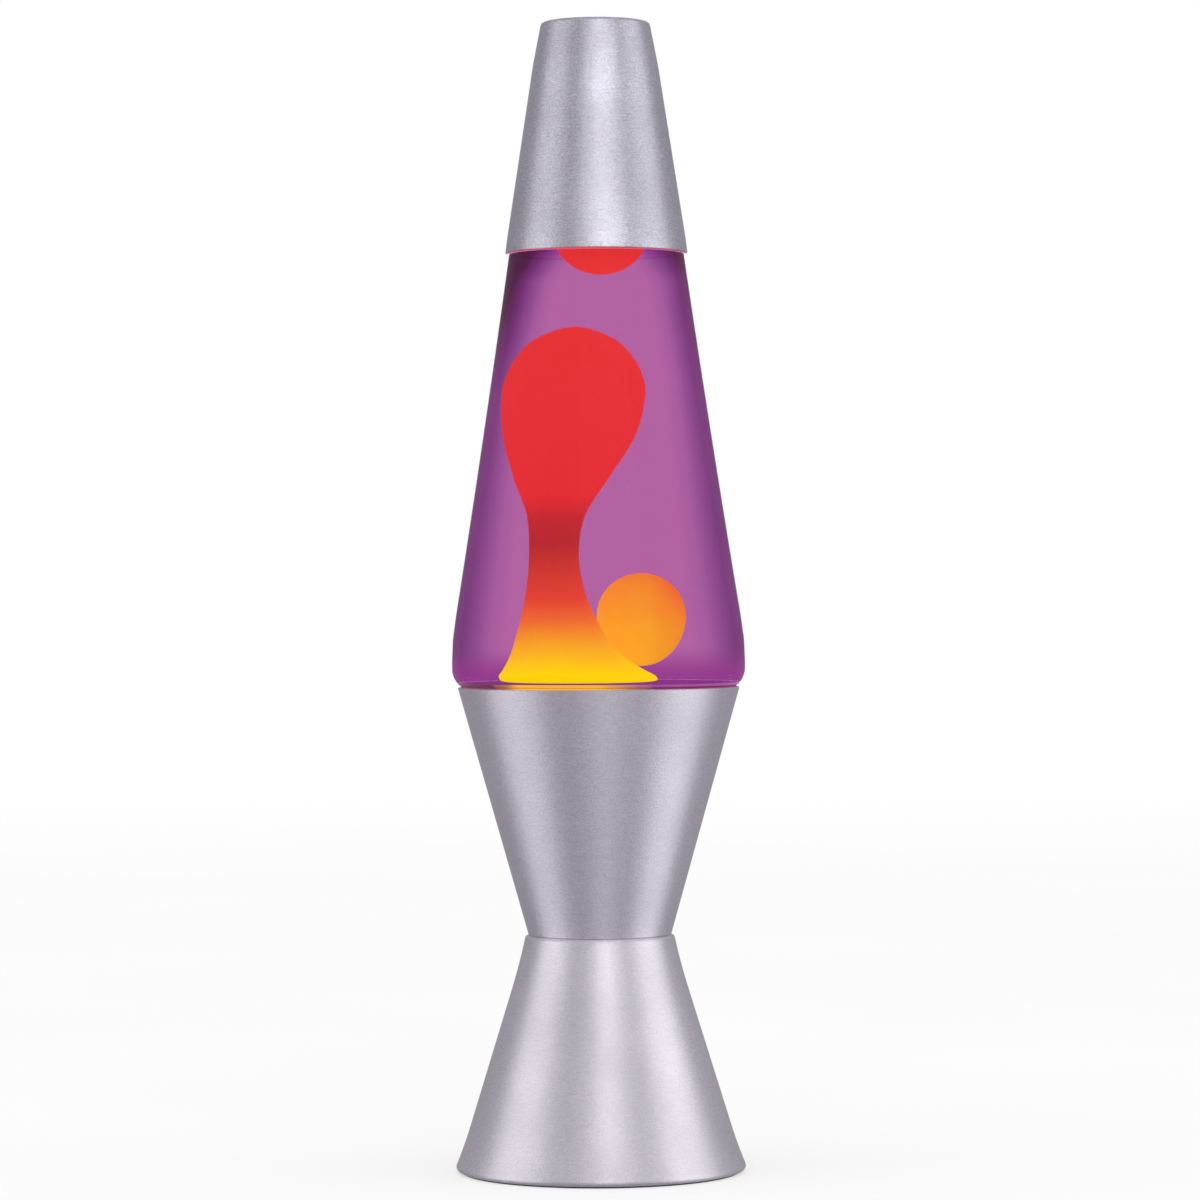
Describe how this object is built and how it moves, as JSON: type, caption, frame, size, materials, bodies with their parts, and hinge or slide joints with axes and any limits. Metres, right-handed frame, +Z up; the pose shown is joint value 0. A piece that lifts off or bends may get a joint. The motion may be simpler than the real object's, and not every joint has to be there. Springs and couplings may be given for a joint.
{
  "type": "lava lamp",
  "caption": "Hourglass lava lamp: spun aluminium stand, cup and cap, tapered glass globe of violet liquid with a red to yellow wax column, lift-off globe and cap, screw-in bulb.",
  "frame": {"origin": "centre of the foot ring's underside, on the lamp's axis at table level", "axes": "+Z up along the lamp's axis; +Y towards the back, where the cord bushing is; +X to the right seen from the front"},
  "size_m": [0.0942, 0.0942, 0.3683],
  "materials": {
    "brushed_aluminium": "spun, fine circular brushing",
    "clear_glass": "clear, glossy",
    "violet_liquid": "clear tinted liquid",
    "glowing_wax": "smooth soft wax, red above and yellow near the bulb",
    "black_phenolic": "moulded, satin",
    "black_fibre": "pressed fibre board",
    "black_rubber": "matt",
    "brass": "plain",
    "plated_steel": "tin plated",
    "soft_liner": "soft seal",
    "bulb_glass": "clear, thin",
    "bulb_metal": "rolled thin shell",
    "black_vitrite": "dark glass",
    "solder": "dull",
    "tungsten": "dull wire"
  },
  "bodies": {
    "base": {"base_stand": "brushed_aluminium", "base_cup": "brushed_aluminium", "waist_rivets": "brushed_aluminium", "cord_bushing": "black_phenolic", "bottom_cover": "black_fibre", "foot_ring": "black_rubber", "socket_body": "black_phenolic", "socket_ring_nut": "black_phenolic", "socket_screw_shell": "brass", "socket_contact": "brass", "terminal_screws": "brass"},
    "bulb": {"bulb_glass": "bulb_glass", "bulb_screw_base": "bulb_metal", "bulb_base_insulator": "black_vitrite", "bulb_contact": "solder", "bulb_stem": "bulb_glass", "filament": "tungsten", "filament_supports": "tungsten"},
    "globe": {"globe_bottle": "clear_glass", "crown_cap": "plated_steel", "crown_liner": "soft_liner", "lava_fluid": "violet_liquid", "wax_column": "glowing_wax", "wire_coil": "plated_steel"},
    "floating_ball": {"wax_ball": "glowing_wax"},
    "top_drop": {"wax_drop": "glowing_wax"},
    "cap": {"top_cap": "brushed_aluminium"}
  },
  "joints": [
    {"name": "globe_lift", "type": "slide", "parent": "base", "child": "globe", "axis": [0, 0, 1], "range_m": [0, 0.05]},
    {"name": "cap_lift", "type": "slide", "parent": "globe", "child": "cap", "axis": [0, 0, 1], "range_m": [0, 0.06]},
    {"name": "bulb_unscrew", "type": "slide", "parent": "base", "child": "bulb", "axis": [0, 0, 1], "range_m": [0, 0.0141]},
    {"name": "wax_ball_rise", "type": "slide", "parent": "globe", "child": "floating_ball", "axis": [0, 0, 1], "range_m": [0, 0.03], "deforming": ["lava_fluid"]},
    {"name": "wax_drop_sink", "type": "slide", "parent": "globe", "child": "top_drop", "axis": [0, 0, -1], "range_m": [0, 0.012], "deforming": ["lava_fluid"]}
  ]
}
